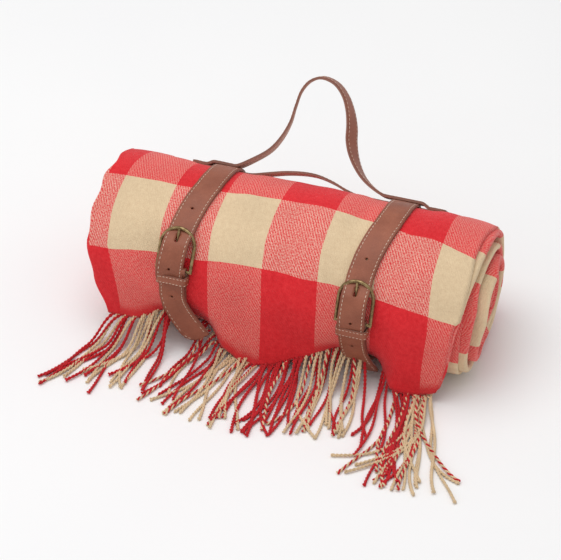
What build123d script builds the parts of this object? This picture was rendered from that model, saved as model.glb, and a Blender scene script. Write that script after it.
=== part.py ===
"""A fringed check blanket, rolled up and held in a leather strap carrier.

Two leather belts go round the roll and buckle on its front. On the roll's upper back a base strap lies under
both belts, and a handle strap lies over them, sewn to the base strap beyond each belt and arched up between
them. The blanket's free edge hangs down the front, and its fringe lies on the floor.

Frame: +X along the roll, +Z up, and the buckles face -Y. The origin is on the floor, in the middle of all
that lies or stands over it, so the roll's axis is behind it.
Angles round the roll are measured at its axis from straight up, and are positive towards the front.
A lift is a height over the roll's surface. A reach is a distance up the belt from the buckle's bar.
"""

import os
from math import cos, degrees, radians, sin

from build123d import *

# The roll: half a circle on top, rounded corners and a flat underneath
axis_y = 36.5
roll_radius = 75.5
corner_radius = 57.5
roll_clearance = 0.4  # between the roll and whatever goes round it
roll_left, roll_right = -192.0, 168.0
inner_turns_right, inner_turns_step = 190.0, 6.0

# The belts
belt_places = {"left": -103.5, "right": 70.5}
bar_angles = {"left": 69.5, "right": 79.5}
belt_width, belt_thickness = 25.0, 2.6
hole_radius, belt_hole_reach, tongue_hole_reach, tail_hole_inset = 1.3, 61.0, 1.6, 3.5
tongue_end, tail_gap = -27.0, 1.6
tail_clearance, tail_tip_radius = 0.5, 9.0
tail_tips = {"left": (19.0, 121.0), "right": (11.0, 136.0)}  # lift and angle

# The buckles
bar_radius, bar_lift, bar_play = 1.6, 5.0, 0.08
nose_lift, frame_reach = 6.6, 39.0
frame_half_width, rail_radius = 16.3, 1.7
fold_wall = 2.02
prong_radius, prong_eye_radius, prong_eye_width, prong_play = 1.2, 2.9, 4.4, 0.3
prong_slot = (8.0, 27.0)  # from reach to reach
keeper_reach, keeper_length, keeper_wall, keeper_lift = -8.0, 8.5, 1.7, 11.5

# The base strap and the handle
handle_angle = -44.0
handle_width, base_thickness, handle_thickness = 18.0, 2.2, 2.6
groove_play = 0.5
base_left, base_right = -129.0, 120.0
base_rise, base_rise_left, base_rise_right, base_rise_middle = 8.0, -62.0, 38.0, -14.0
arch_left, arch_right, arch_gap = -67.0, 43.0, 0.6
thread_width, thread_height, thread_inset = 0.8, 0.35, 2.2

# The free edge of the blanket, in three spans that keep out of the belts' way, and its fringe
hem_spans = {"left": (-192.0, -132.0), "middle": (-68.0, 38.0), "right": (104.0, 168.0)}
hem_feet = {"left": 22.0, "middle": 1.0, "right": 1.0}
hem_top, hem_thickness, hem_flare = 56.0, 3.4, 5.0
fringe_spans = {"left": (-190.0, -66.0), "middle": (-63.0, 58.0), "right": (61.0, 184.0)}
fringe_reaches = {"left": 172.0, "middle": 184.0, "right": 204.0}
fringe_start, fringe_thickness = 84.0, 4.0

# Worked out from those
belt_inside = roll_clearance
belt_outside = roll_clearance + belt_thickness
belt_middle = roll_clearance + belt_thickness / 2
axis_height = belt_outside + corner_radius
half_flat = roll_radius - corner_radius
belt_reach_radius = roll_radius + bar_lift
fold_radius = bar_radius + bar_play + fold_wall
tail_middle = belt_outside + tail_clearance + belt_thickness / 2

pieces = {}


def place(lift, angle):
    """The point (y, z) at that lift over the roll."""
    if abs(angle) <= 90:
        across = (roll_radius + lift) * sin(radians(angle))
        return (axis_y - across, axis_height + (roll_radius + lift) * cos(radians(angle)))
    side = 1 if angle > 0 else -1
    across = side * half_flat + (corner_radius + lift) * sin(radians(angle))
    return (axis_y - across, axis_height + (corner_radius + lift) * cos(radians(angle)))


def reach_angle(side, reach):
    """The angle of a point that far up the belt from the buckle's bar."""
    return bar_angles[side] - degrees(reach / belt_reach_radius)


def outline(lift):
    """Draws the roll's section, grown by lift, in the current BuildLine."""
    top, corner, floor = roll_radius + lift, corner_radius + lift, axis_height - corner_radius - lift
    front, back = axis_y - half_flat, axis_y + half_flat
    CenterArc((axis_y, axis_height), top, 0, 180)
    CenterArc((front, axis_height), corner, 180, 90)
    Line((front, floor), (back, floor))
    CenterArc((back, axis_height), corner, 270, 90)


def fill_outline(lift, mode=Mode.ADD):
    """Fills that section in the current BuildSketch."""
    with BuildLine() as lines:
        outline(lift)
    make_face(lines.edges(), mode=mode)


def cut_wedge(start, end):
    """Cuts what lies between two angles from the current BuildSketch."""
    far = 3 * roll_radius
    middle = (start + end) / 2
    corners = [place(far, angle) for angle in (start, middle, end)]
    with BuildLine() as lines:
        Polyline((axis_y, axis_height), *corners, close=True)
    make_face(lines.edges(), mode=Mode.SUBTRACT)


def section(x):
    """The plane across the roll at x, with its own x to the back and its own y up."""
    return Plane.YZ.offset(x)


def skin_plane(x, lift, angle):
    """Faces outwards from the roll, with its own x along the roll."""
    y, z = place(lift, angle)
    return Plane(origin=(x, y, z), x_dir=(1, 0, 0), z_dir=(0, -sin(radians(angle)), cos(radians(angle))))


def frame_plane(side):
    """The plane of a buckle's frame: origin on the bar, its own x along the bar and its own y to the nose."""
    bar = place(bar_lift, bar_angles[side])
    nose = place(nose_lift, reach_angle(side, frame_reach))
    up_y, up_z = nose[0] - bar[0], nose[1] - bar[1]
    return Plane(origin=(belt_places[side], *bar), x_dir=(1, 0, 0), z_dir=(0, -up_z, up_y))


def handle_plane():
    """Stands on the roll along it, with its own origin on the roll's axis and its own y outwards."""
    tilt = radians(handle_angle)
    return Plane(origin=(0, axis_y, axis_height), x_dir=(1, 0, 0), z_dir=(0, -cos(tilt), -sin(tilt)))


def keep(name, builder):
    """Labels a finished piece and keeps it to be written."""
    builder.part.label = name
    pieces[name] = builder.part


# Heights along the handle's own y
groove_floor = roll_radius - 2.8
base_top = roll_radius + roll_clearance - 0.65
base_middle = base_top - base_thickness / 2
sewn_height = base_top + handle_thickness / 2
over_belt_height = roll_radius + belt_outside + 0.1 + handle_thickness / 2
pivot_height = 89.0


# The blanket

with BuildPart() as roll:
    with BuildSketch(section(roll_left)):
        fill_outline(0)
    extrude(amount=roll_right - roll_left)
    with BuildSketch(handle_plane()):
        with Locations(((roll_left + roll_right) / 2, groove_floor + 10)):
            Rectangle(2 * (roll_right - roll_left), 20)
    extrude(amount=handle_width / 2 + groove_play, both=True, mode=Mode.SUBTRACT)
keep("blanket_roll", roll)

with BuildPart() as inner_turns:
    with BuildSketch(section(roll_right)):
        fill_outline(-inner_turns_step)
    extrude(amount=inner_turns_right - roll_right)
    chamfer(inner_turns.faces().sort_by(Axis.X)[-1].edges(), 3)
keep("blanket_inner_turns", inner_turns)

for side, (start, end) in hem_spans.items():
    foot = hem_feet[side]
    inner_y = axis_y - roll_radius - 0.1
    flare = hem_flare * (hem_top - foot) / hem_top
    with BuildPart() as hem:
        with BuildSketch(section(start)):
            with BuildLine():
                Polyline(
                    (inner_y, hem_top),
                    (inner_y - hem_thickness / 3, hem_top),
                    (inner_y - hem_thickness - flare, foot),
                    (inner_y - flare, foot),
                    close=True,
                )
            make_face()
        extrude(amount=end - start)
    keep(f"hem_{side}", hem)

for side, (start, end) in fringe_spans.items():
    near, far = axis_y - fringe_start, axis_y - fringe_reaches[side]
    with BuildPart() as fringe:
        with BuildSketch(section(start)):
            with BuildLine():
                Polyline(
                    (near, 0),
                    (near - 2, fringe_thickness),
                    (far + 6, fringe_thickness),
                    (far, 0),
                    close=True,
                )
            make_face()
        extrude(amount=end - start)
    keep(f"fringe_{side}", fringe)


# The base strap and the handle strap

with BuildPart() as base:
    with BuildSketch(handle_plane()):
        with BuildLine():
            Line((base_left, base_middle), (base_rise_left, base_middle))
            Spline(
                (base_rise_left, base_middle),
                (base_rise_middle, base_middle + base_rise),
                (base_rise_right, base_middle),
                tangents=((1, 0), (1, 0)),
            )
            Line((base_rise_right, base_middle), (base_right, base_middle))
        trace(line_width=base_thickness)
    extrude(amount=handle_width / 2, both=True)
keep("base_strap", base)


def arch_line():
    """Draws the middle line of the handle strap, from its left end to its right end."""
    left_over, right_over = belt_places["left"], belt_places["right"]
    half = belt_width / 2
    Line((base_left, sewn_height), (left_over - half - 6, sewn_height))
    Line((left_over - half - 6, sewn_height), (left_over - half - 1, over_belt_height))
    Line((left_over - half - 1, over_belt_height), (left_over + half + 1, over_belt_height))
    Spline(
        (left_over + half + 1, over_belt_height),
        (-58, 101.5),
        (-45, 131),
        (-41, 163),
        (-24, 178.5),
        (1, 166),
        (14, 138),
        (21, 113),
        (36, 92.5),
        (right_over - half - 1, over_belt_height),
        tangents=((1, 0), (1, -0.12)),
    )
    Line((right_over - half - 1, over_belt_height), (right_over + half + 1, over_belt_height))
    Line((right_over + half + 1, over_belt_height), (right_over + half + 6, sewn_height))
    Line((right_over + half + 6, sewn_height), (base_right, sewn_height))


def handle_piece(name, start, end):
    """The stretch of the handle strap between two places along the roll."""
    with BuildPart() as piece:
        with BuildSketch(handle_plane()):
            with BuildLine():
                arch_line()
            trace(line_width=handle_thickness)
            with Locations(((start + end) / 2, 2 * roll_radius)):
                Rectangle(end - start, 4 * roll_radius, mode=Mode.INTERSECT)
        extrude(amount=handle_width / 2, both=True)
    keep(name, piece)


handle_piece("left_handle_end", base_left, arch_left - arch_gap / 2)
handle_piece("handle_arch", arch_left + arch_gap / 2, arch_right - arch_gap / 2)
handle_piece("right_handle_end", arch_right + arch_gap / 2, base_right)


# The belts, one on each side


def draw_belt(side):
    """Fills the belt's section: a ring that is open inside the buckle."""
    fill_outline(belt_outside)
    fill_outline(belt_inside, mode=Mode.SUBTRACT)
    cut_wedge(reach_angle(side, prong_slot[1]), reach_angle(side, -fold_radius))


def tongue_points(side):
    """Where the belt's tongue rises through the buckle, over the bar and down to the belt again."""
    over_bar = bar_lift + fold_radius + 0.2 + belt_thickness / 2
    lifts = {
        prong_slot[1]: belt_middle,
        19: belt_middle + 3.6,
        10: over_bar - 0.9,
        0: over_bar,
        -11: over_bar - 2.3,
        -20: tail_middle + 0.9,
        tongue_end: tail_middle - 0.2,
    }
    return [place(lift, reach_angle(side, reach)) for reach, lift in lifts.items()]


def make_belt(side):
    with BuildPart() as belt:
        with BuildSketch(section(belt_places[side])):
            draw_belt(side)
        extrude(amount=belt_width / 2, both=True)
        with BuildSketch(skin_plane(belt_places[side], 0, reach_angle(side, belt_hole_reach))):
            Circle(hole_radius)
        extrude(amount=2 * belt_outside, mode=Mode.SUBTRACT)
    keep(f"{side}_belt", belt)


def make_threads(side):
    """The two rows of thread near a belt's edges, raised from its outside."""
    with BuildPart() as threads:
        with BuildSketch(section(belt_places[side])):
            fill_outline(belt_outside + thread_height)
            fill_outline(belt_outside, mode=Mode.SUBTRACT)
            cut_wedge(reach_angle(side, 40), 112)
            cut_wedge(152, 208)
            cut_wedge(handle_angle - 14, handle_angle + 14)
        extrude(amount=belt_width / 2 - thread_inset, both=True)
        with BuildSketch(section(belt_places[side])):
            Rectangle(6 * roll_radius, 6 * roll_radius)
        extrude(amount=belt_width / 2 - thread_inset - thread_width, both=True, mode=Mode.SUBTRACT)
    keep(f"{side}_belt_threads", threads)


def make_chape(side):
    """The belt's end, folded round the buckle's bar and sewn down."""
    bar = place(bar_lift, bar_angles[side])
    end = place(belt_outside + 0.5, reach_angle(side, -19))
    with BuildPart() as chape:
        with BuildSketch(section(belt_places[side])):
            with Locations(bar):
                Circle(fold_radius)
            with Locations(end):
                Circle(0.5)
            make_hull()
            with BuildSketch(mode=Mode.SUBTRACT):
                draw_belt(side)
            fill_outline(belt_inside, mode=Mode.SUBTRACT)
            with Locations(bar):
                Circle(bar_radius + bar_play, mode=Mode.SUBTRACT)
        extrude(amount=belt_width / 2, both=True)
        with BuildSketch(section(belt_places[side])):
            with Locations(bar):
                Circle(fold_radius + 0.6)
        extrude(amount=prong_eye_width / 2 + prong_play, both=True, mode=Mode.SUBTRACT)
    keep(f"{side}_chape", chape)


def make_tongue(side):
    with BuildPart() as tongue:
        with BuildSketch(section(belt_places[side])):
            with BuildLine():
                Spline(*tongue_points(side))
            trace(line_width=belt_thickness)
            with BuildSketch(mode=Mode.SUBTRACT):
                draw_belt(side)
        extrude(amount=belt_width / 2, both=True)
        with BuildSketch(frame_plane(side)):
            with Locations((0, sum(prong_slot) / 2)):
                SlotOverall(prong_slot[1] - prong_slot[0], 2 * (prong_radius + prong_play), rotation=90)
        extrude(amount=14, both=True, mode=Mode.SUBTRACT)
        with BuildSketch(skin_plane(belt_places[side], bar_lift, reach_angle(side, tongue_hole_reach))):
            Circle(hole_radius)
        extrude(amount=4 * belt_thickness, mode=Mode.SUBTRACT)
    keep(f"{side}_tongue", tongue)


def make_tail(side):
    """The free end of the belt, past the keeper."""
    first = reach_angle(side, tongue_end - tail_gap)
    tip = place(*tail_tips[side])
    with BuildPart() as tail:
        with BuildSketch(section(belt_places[side])):
            with BuildLine():
                down_the_roll = (-cos(radians(first)), -sin(radians(first)))
                TangentArc(place(tail_middle, first), tip, tangent=down_the_roll)
            trace(line_width=belt_thickness)
        extrude(amount=belt_width / 2, both=True)
        hole_angle = reach_angle(side, tongue_end - tail_gap - tail_hole_inset)
        with BuildSketch(skin_plane(belt_places[side], 0, hole_angle)):
            Circle(hole_radius)
        extrude(amount=5 * belt_outside, mode=Mode.SUBTRACT)
        corners = tail.edges().filter_by(lambda edge: abs(edge.length - belt_thickness) < 0.05)
        fillet(corners.sort_by_distance((belt_places[side], *tip))[:2], tail_tip_radius)
    keep(f"{side}_tail", tail)


def make_keeper(side):
    """The narrow leather loop over the tongue, its two ends sewn to the belt's edges."""
    outer_half = belt_width / 2 + 0.2 + keeper_wall
    foot, top = belt_inside + 0.2, keeper_lift + keeper_wall
    angle = reach_angle(side, keeper_reach)
    across = skin_plane(belt_places[side], 0, angle)
    with BuildPart() as keeper:
        with BuildSketch(Plane(origin=across.origin, x_dir=(1, 0, 0), z_dir=-across.y_dir)):
            with Locations((0, (foot + top) / 2)):
                RectangleRounded(2 * outer_half, top - foot, 0.8)
            with Locations((0, (foot + keeper_lift) / 2 - 1)):
                Rectangle(belt_width + 0.4, keeper_lift - foot + 2, mode=Mode.SUBTRACT)
        extrude(amount=keeper_length / 2, both=True)
    keep(f"{side}_keeper", keeper)


def make_frame(side):
    """The buckle's horseshoe of round wire, with its bar."""
    plane = frame_plane(side)
    turn = frame_reach - frame_half_width
    with BuildPart() as frame:
        with BuildLine(plane) as rail:
            Line((-frame_half_width, -1.2), (-frame_half_width, turn))
            ThreePointArc((-frame_half_width, turn), (0, frame_reach), (frame_half_width, turn))
            Line((frame_half_width, turn), (frame_half_width, -1.2))
        with BuildSketch(Plane(origin=rail.line @ 0, z_dir=rail.line % 0)):
            Circle(rail_radius)
        sweep()
        with BuildSketch(section(belt_places[side])):
            with Locations(place(bar_lift, bar_angles[side])):
                Circle(bar_radius)
        extrude(amount=frame_half_width, both=True)
    keep(f"{side}_buckle_frame", frame)


def make_prong(side):
    """The round tongue of the buckle: an eye on the bar, and a rod that rests on the nose."""
    plane = frame_plane(side)
    rest = rail_radius + prong_radius + 0.06
    side_view = Plane(origin=plane.origin, x_dir=plane.y_dir, z_dir=plane.x_dir)
    with BuildPart() as prong:
        with BuildSketch(side_view):
            Circle(prong_eye_radius)
        extrude(amount=prong_eye_width / 2, both=True)
        with BuildLine(side_view) as rod:
            Line((prong_eye_radius - 1.0, 0.2), (frame_reach, rest))
        with BuildSketch(Plane(origin=rod.line @ 0, z_dir=rod.line % 0)):
            Circle(prong_radius)
        sweep()
        with BuildSketch(side_view):
            Circle(bar_radius + bar_play)
        extrude(amount=prong_eye_width, both=True, mode=Mode.SUBTRACT)
        fillet(prong.faces().sort_by_distance((rod.line @ 1))[0].edges(), 0.8)
    keep(f"{side}_prong", prong)


for side in belt_places:
    make_belt(side)
    make_threads(side)
    make_chape(side)
    make_tongue(side)
    make_tail(side)
    make_keeper(side)
    make_frame(side)
    make_prong(side)


os.makedirs("parts", exist_ok=True)
for name, part in pieces.items():
    export_step(part, f"parts/{name}.step")
    print(name, len(part.solids()), round(part.volume))
pivot = handle_plane().from_local_coords(Vector(0, pivot_height, 0))
print("handle pivot", [round(v, 2) for v in pivot])
for side in belt_places:
    start = reach_angle(side, tongue_end - tail_gap)
    print(side, "bar", [round(v, 2) for v in frame_plane(side).origin], "tail", place(tail_middle, start))
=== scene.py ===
"""The looks of a fringed check blanket, rolled up in a leather strap carrier.

Everything is worked out in millimetres in the CAD model's own frame, and put into Blender in metres.
Angles round the roll are measured at its axis from straight up, and are positive towards the front.
A lift is a height over the roll's surface. A reach is a distance up a belt from its buckle's bar.
"""

import random
from math import copysign, cos, degrees, exp, inf, pi, radians, sin, sqrt

import bmesh
import bpy
import numpy as np
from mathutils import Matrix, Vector, noise


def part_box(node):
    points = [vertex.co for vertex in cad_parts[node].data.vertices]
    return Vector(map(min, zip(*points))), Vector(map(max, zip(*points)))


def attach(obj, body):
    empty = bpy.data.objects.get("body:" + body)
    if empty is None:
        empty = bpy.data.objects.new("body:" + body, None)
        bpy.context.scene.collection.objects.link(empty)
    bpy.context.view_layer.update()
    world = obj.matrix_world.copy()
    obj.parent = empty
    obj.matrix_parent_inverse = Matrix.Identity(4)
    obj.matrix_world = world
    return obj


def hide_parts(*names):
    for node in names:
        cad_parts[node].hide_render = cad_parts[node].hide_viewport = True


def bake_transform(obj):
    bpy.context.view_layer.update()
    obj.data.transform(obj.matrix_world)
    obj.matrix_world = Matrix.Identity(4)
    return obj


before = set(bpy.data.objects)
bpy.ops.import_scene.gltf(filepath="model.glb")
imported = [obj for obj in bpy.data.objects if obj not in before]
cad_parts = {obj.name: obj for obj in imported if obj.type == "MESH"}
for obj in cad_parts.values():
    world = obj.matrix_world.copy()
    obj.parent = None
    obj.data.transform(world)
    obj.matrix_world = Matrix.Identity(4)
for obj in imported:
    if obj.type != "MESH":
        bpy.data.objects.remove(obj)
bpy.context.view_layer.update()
random.seed(20)

MM = 0.001
ALONG = np.array([1.0, 0.0, 0.0])

# The roll: half a circle on top, rounded corners and a flat underneath
RADIUS, CORNER = 75.5, 57.5
roll_low, roll_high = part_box("blanket_roll")
AXIS_Y = (roll_low.y + roll_high.y) / 2 / MM
AXIS_Z = roll_low.z / MM + CORNER
ROLL_LEFT, ROLL_RIGHT = roll_low.x / MM, roll_high.x / MM

# The belts and their buckles
BELTS = {side: sum(c.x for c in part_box(f"{side}_belt")) / 2 / MM for side in ("left", "right")}
BAR_ANGLES = {"left": 69.5, "right": 79.5}
BAR_LIFT, BAR_RADIUS = 5.0, 1.6
BELT_WIDTH, BELT_THICKNESS, BELT_MIDDLE = 25.0, 2.6, 1.7
REACH_RADIUS = RADIUS + BAR_LIFT
KEEPER_REACH, TAIL_START = -8.0, -28.6
TAIL_TIPS = {"left": (19.0, 121.0), "right": (11.0, 136.0)}  # lift and angle
TAIL_DRIFT = {"left": 25.0, "right": 10.0}  # how far to the right a tail's tip lies
STITCH_INSET = 2.5
HOLE_RADIUS = 1.25
SLOT_REACH, SLOT_LIFT, SLOT_RADIUS, SLOT_LENGTH, SLOT_TILT = 29.5, 7.6, 1.75, 7.0, 26.0  # the prong's slot

# The handle's plane stands on the roll along it: its height runs outwards from the roll's axis
HANDLE_ANGLE = radians(-44.0)
HANDLE_OUT = np.array([0.0, -sin(HANDLE_ANGLE), cos(HANDLE_ANGLE)])
HANDLE_ACROSS = np.cross(ALONG, HANDLE_OUT)
HANDLE_WIDTH, BASE_THICKNESS, HANDLE_THICKNESS = 18.0, 2.2, 2.6

# The blanket: three plies of cloth, folded one under the other and rolled up
CLOTH_THICKNESS, PLY_STEP, TURN_STEP = 2.9, 3.8, 11.4
FOLD_LENGTH = 6.0
HEM_ROWS = 27
HEM_RED_AND_SHADE_BAND = 15.0  # how much of the hanging edge turns deep red: a red-woven edge, darkened with painted shade where it curls under
PLIES = 3
PLIES_MIDDLE = -CLOTH_THICKNESS / 2 - PLY_STEP  # the middle ply's lift over the roll
WHOLE_TURNS = 4  # further in, the turns shrink towards a core a little over the axis
CORE_RISE = 7.0
HEM_ALLOWANCE = 90.0
LEFT_FOLD, RIGHT_FOLD = -1.0, -2.0

# The cloth's edges: distances up the cloth, and where each edge is along the roll
SELVEDGE = (
    [-97, -75, -50, -20, -8, -3, 30, 60, 80, 110, 160, 240, 366, 400, 440, 480],
    [146, 154, 158.5, 161.5, 163, 167.5, 169, 166.5, 167, 170, 169, 167, 166, 168, 166, 166],
)
LEFT_EDGE = [-80, -60, -35, 0, 40, 90, 160, 230, 330], [28, 19, 10, 2, 2, 3.5, 3, 9, 13]  # from ROLL_LEFT
RIGHT_EDGE = (
    [-97, -60, -20, 0, 40, 80, 150, 230, 330, 366, 400, 415, 440, 480, 560, 700, 740, 790, 830, 900],
    [145, 155, 160, 164, 168, 171, 171, 169, 170, 169.5, 173, 174.5, 171.5, 173, 173, 176, 182, 183, 177, 175],
)
FIRST_COLUMN, COLUMN_WIDTH, ROW_HEIGHT = 37.0, 51.0, 75.0
ROW_ANGLE = 62.8  # where the last row of checks starts on the roll's front


# Small tools


def skin(angle, lift):
    """(y, z) at an angle round the roll and a lift over it."""
    a = radians(angle)
    if abs(angle) <= 90:
        across, rise = (RADIUS + lift) * sin(a), (RADIUS + lift) * cos(a)
    else:
        across = copysign(RADIUS - CORNER, angle) + (CORNER + lift) * sin(a)
        rise = (CORNER + lift) * cos(a)
    return AXIS_Y - across, AXIS_Z + rise


def reach_angle(side, reach):
    return BAR_ANGLES[side] - degrees(reach / REACH_RADIUS)


def at_reach(side, reach, lift, x=0.0):
    y, z = skin(reach_angle(side, reach), lift)
    return np.array([BELTS[side] + x, y, z])


def outward(angle):
    a = radians(angle)
    return np.array([0.0, -sin(a), cos(a)])


def upward(angle):
    """The direction up a belt, along the roll's skin."""
    a = radians(angle)
    return np.array([0.0, cos(a), sin(a)])


def between(x, places, values):
    """The value at x, on straight lines between the values at the places."""
    return float(np.interp(x, places, values))


def belt_lean(angle):
    """How far to the right of its buckle a belt lies, over the roll and down behind it."""
    angles = [-150, -100, -60, -35, -10, 5, 20, 35, 48]
    return between(angle, angles, [0, 4, 9.5, 12.5, 12.5, 10.5, 6.2, 2.2, 0])


def in_handle_plane(x, height, across=0.0):
    return np.array([x, AXIS_Y, AXIS_Z]) + height * HANDLE_OUT + across * HANDLE_ACROSS


def smoothstep(t):
    t = min(max(t, 0.0), 1.0)
    return t * t * (3 - 2 * t)


def unit(v):
    v = np.asarray(v, float)
    return v / np.maximum(np.linalg.norm(v, axis=-1, keepdims=True), 1e-9)


def wobble(x, y, z=0.0, size=40.0):
    """Smooth noise from -1 to 1 with features about that size, in mm."""
    return noise.noise(Vector((x / size, y / size, z)))


def lengths_along(points):
    """Each point's distance from the start, along the line."""
    return np.concatenate([[0], np.cumsum(np.linalg.norm(np.diff(points, axis=0), axis=1))])


def spaced(points, step):
    """The same line with its points evenly spaced."""
    points = np.asarray(points, float)
    lengths = lengths_along(points)
    count = max(2, int(round(lengths[-1] / step)) + 1)
    s = np.linspace(0, lengths[-1], count)
    return np.stack([np.interp(s, lengths, points[:, k]) for k in range(points.shape[1])], axis=1)


def curve_through(points, step=1.0):
    """A smooth line through the points, evenly spaced."""
    p = np.asarray(points, float)
    p = np.vstack([2 * p[0] - p[1], p, 2 * p[-1] - p[-2]])
    line = []
    for a, b, c, d in zip(p[:-3], p[1:-2], p[2:-1], p[3:]):
        gaps = [max(np.linalg.norm(v) ** 0.5, 1e-6) for v in (b - a, c - b, d - c)]
        m1 = (c - b) + gaps[1] * ((b - a) / gaps[0] - (c - a) / (gaps[0] + gaps[1]))
        m2 = (c - b) + gaps[1] * ((d - c) / gaps[2] - (d - b) / (gaps[1] + gaps[2]))
        t = np.linspace(0, 1, 24, endpoint=False)[:, None]
        near, far = (2 * t**3 - 3 * t**2 + 1) * b, (3 * t**2 - 2 * t**3) * c
        line.append(near + (t**3 - 2 * t**2 + t) * m1 + far + (t**3 - t**2) * m2)
    line.append(p[-2][None, :])
    return spaced(np.vstack(line), step)


def tangents(points):
    return unit(np.gradient(np.asarray(points, float), axis=0))


def link(name, data):
    obj = bpy.data.objects.new(name, data)
    bpy.context.scene.collection.objects.link(obj)
    return obj


def smooth(mesh):
    mesh.polygons.foreach_set("use_smooth", [True] * len(mesh.polygons))


def new_object(name, verts, faces):
    mesh = bpy.data.meshes.new(name)
    mesh.from_pydata((np.asarray(verts, float) * MM).tolist(), [], faces)
    mesh.validate()
    smooth(mesh)
    return link(name, mesh)


def point_attribute(obj, name, values):
    attribute = obj.data.attributes.new(name, "FLOAT", "POINT")
    attribute.data.foreach_set("value", np.asarray(values, np.float32))


def apply_modifiers(obj):
    bpy.context.view_layer.update()
    depsgraph = bpy.context.evaluated_depsgraph_get()
    mesh = bpy.data.meshes.new_from_object(obj.evaluated_get(depsgraph))
    obj.modifiers.clear()
    old = obj.data
    obj.data = mesh
    bpy.data.meshes.remove(old)


def grid(rows, width, first=0, around=True, closed=False):
    """The faces between rows of points. A row is a ring or an open line. The last row may join the first."""
    faces = []
    for i in range(rows if closed else rows - 1):
        a, b = first + i * width, first + (i + 1) % rows * width
        for k in range(width if around else width - 1):
            m = (k + 1) % width
            faces.append((a + k, a + m, b + m, b + k))
    return faces


class Soup:
    """Gathers many small tubes into one mesh."""

    def __init__(self):
        self.verts, self.faces, self.values = [], [], []
        self.count = 0

    def rings(self, rings, value):
        """A tube through the rings, closed at both ends, with the value at all its points."""
        sides = len(rings[0])
        base = self.count
        for ring in rings:
            self.verts.append(ring)
            self.values.extend([value] * sides)
        self.count += sides * len(rings)
        self.faces += grid(len(rings), sides, base)
        self.faces.append(tuple(base + k for k in reversed(range(sides))))
        last = base + (len(rings) - 1) * sides
        self.faces.append(tuple(last + k for k in range(sides)))

    def make(self, name, attribute=None):
        obj = new_object(name, np.vstack(self.verts), self.faces)
        if attribute:
            point_attribute(obj, attribute, self.values)
        return obj


# Materials


class Shader:
    """A node material with a Principled shader."""

    def __init__(self, name, **constants):
        self.material = bpy.data.materials.new(name)
        self.material.use_nodes = True
        self.tree = self.material.node_tree
        self.shader = self.tree.nodes["Principled BSDF"]
        for socket, value in constants.items():
            self.shader.inputs[socket.replace("_", " ")].default_value = value

    def node(self, kind, settings=None, numbered=(), **inputs):
        """A node with its settings, and the sockets given by number and by name."""
        n = self.tree.nodes.new("ShaderNode" + kind)
        for key, value in (settings or {}).items():
            setattr(n, key, value)
        for key, value in [*numbered, *inputs.items()]:
            self.plug(value, n.inputs[key])
        return n

    def plug(self, value, socket):
        if isinstance(value, bpy.types.NodeSocket):
            self.tree.links.new(value, socket)
        else:
            socket.default_value = (*value, 1.0) if isinstance(value, tuple) and len(value) == 3 else value

    def math(self, operation, a, b=0.0):
        return self.node("Math", {"operation": operation}, [(0, a), (1, b)]).outputs[0]

    def plus(self, a, b):
        return self.math("ADD", a, b)

    def minus(self, a, b):
        return self.math("SUBTRACT", a, b)

    def times(self, a, b):
        return self.math("MULTIPLY", a, b)

    def where(self):
        return self.node("TexCoord").outputs["Object"]

    def value(self, attribute):
        return self.node("Attribute", {"attribute_name": attribute}).outputs["Fac"]

    def noise(self, vector, scale, detail=3.0, roughness=0.55):
        n = self.node("TexNoise", Vector=vector, Scale=scale, Detail=detail, Roughness=roughness)
        return n.outputs["Fac"]

    def mix(self, factor, a, b, blend="MIX"):
        settings = {"data_type": "RGBA", "blend_type": blend}
        return self.node("Mix", settings, [(0, factor), (6, a), (7, b)]).outputs[2]

    def map(self, value, low, high, to_low=0.0, to_high=1.0):
        ends = [("From Min", low), ("From Max", high), ("To Min", to_low), ("To Max", to_high)]
        return self.node("MapRange", None, ends, Value=value).outputs[0]

    def ramp(self, value, stops):
        n = self.node("ValToRGB", Fac=value)
        elements = n.color_ramp.elements
        while len(elements) < len(stops):
            elements.new(0.5)
        for element, (position, colour) in zip(elements, stops):
            element.position, element.color = position, (*colour, 1)
        return n.outputs[0]

    def shade(self, colour, grey):
        """The colour, made darker or lighter by a grey."""
        grey = self.node("CombineColor", Red=grey, Green=grey, Blue=grey).outputs[0]
        return self.mix(1.0, colour, grey, "MULTIPLY")

    def bump(self, height, distance, strength):
        return self.node("Bump", Height=height, Distance=distance, Strength=strength).outputs["Normal"]

    def finish(self, colour=None, roughness=None, normal=None):
        for value, socket in ((colour, "Base Color"), (roughness, "Roughness"), (normal, "Normal")):
            if value is not None:
                self.plug(value, self.shader.inputs[socket])
        return self.material


RED, DEEP_RED = (0.84, 0.036, 0.044), (0.72, 0.018, 0.026)
CREAM, DEEP_CREAM = (0.82, 0.63, 0.405), (0.75, 0.56, 0.355)
PALE_PINK, DEEP_PINK = (0.92, 0.48, 0.385), (0.76, 0.045, 0.050)


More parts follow.
